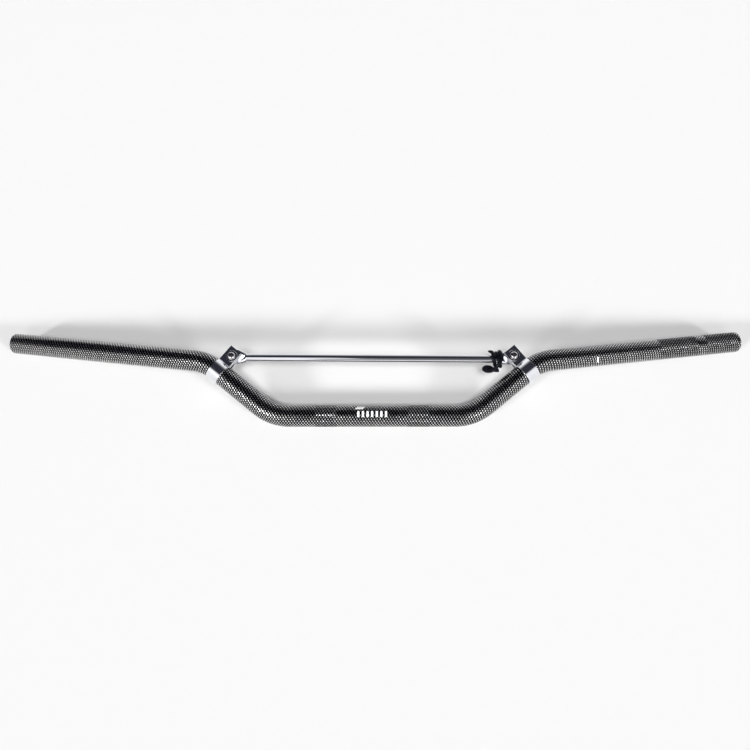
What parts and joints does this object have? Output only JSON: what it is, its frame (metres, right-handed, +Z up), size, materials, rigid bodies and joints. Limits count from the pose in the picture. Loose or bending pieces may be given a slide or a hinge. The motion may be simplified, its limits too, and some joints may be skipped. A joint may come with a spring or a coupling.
{
  "type": "motocross handlebar",
  "caption": "Bent motocross handlebar with a carbon-look film, a chrome crossbar clamped between its risers and a black cord tied to the crossbar.",
  "frame": {"origin": "centre of the straight middle section that the stem clamps hold, on the tube's axis", "axes": "+X along the bar to the rider's left, +Y back towards the rider, the way the grips are swept, +Z up; the bar lies on a table at Z = -11.1 mm with its front face up"},
  "size_m": [0.8156, 0.1292, 0.053],
  "materials": {
    "carbon_film": "glossy carbon-look film on steel tube",
    "chrome": "bright chrome plate",
    "screw_steel": "plated steel with slight browning in the recess",
    "zinc_steel": "zinc plated",
    "black_cord": "glossy black"
  },
  "bodies": {
    "root": {"handlebar_tube": "carbon_film", "crossbar": "chrome", "left_clamp": "chrome", "right_clamp": "chrome", "left_clamp_screw": "screw_steel", "right_clamp_screw": "screw_steel", "left_plain_washer": "screw_steel", "right_plain_washer": "screw_steel", "left_lock_washer": "zinc_steel", "right_lock_washer": "zinc_steel", "left_nut": "zinc_steel", "right_nut": "zinc_steel", "cord_tie": "black_cord"}
  },
  "joints": []
}
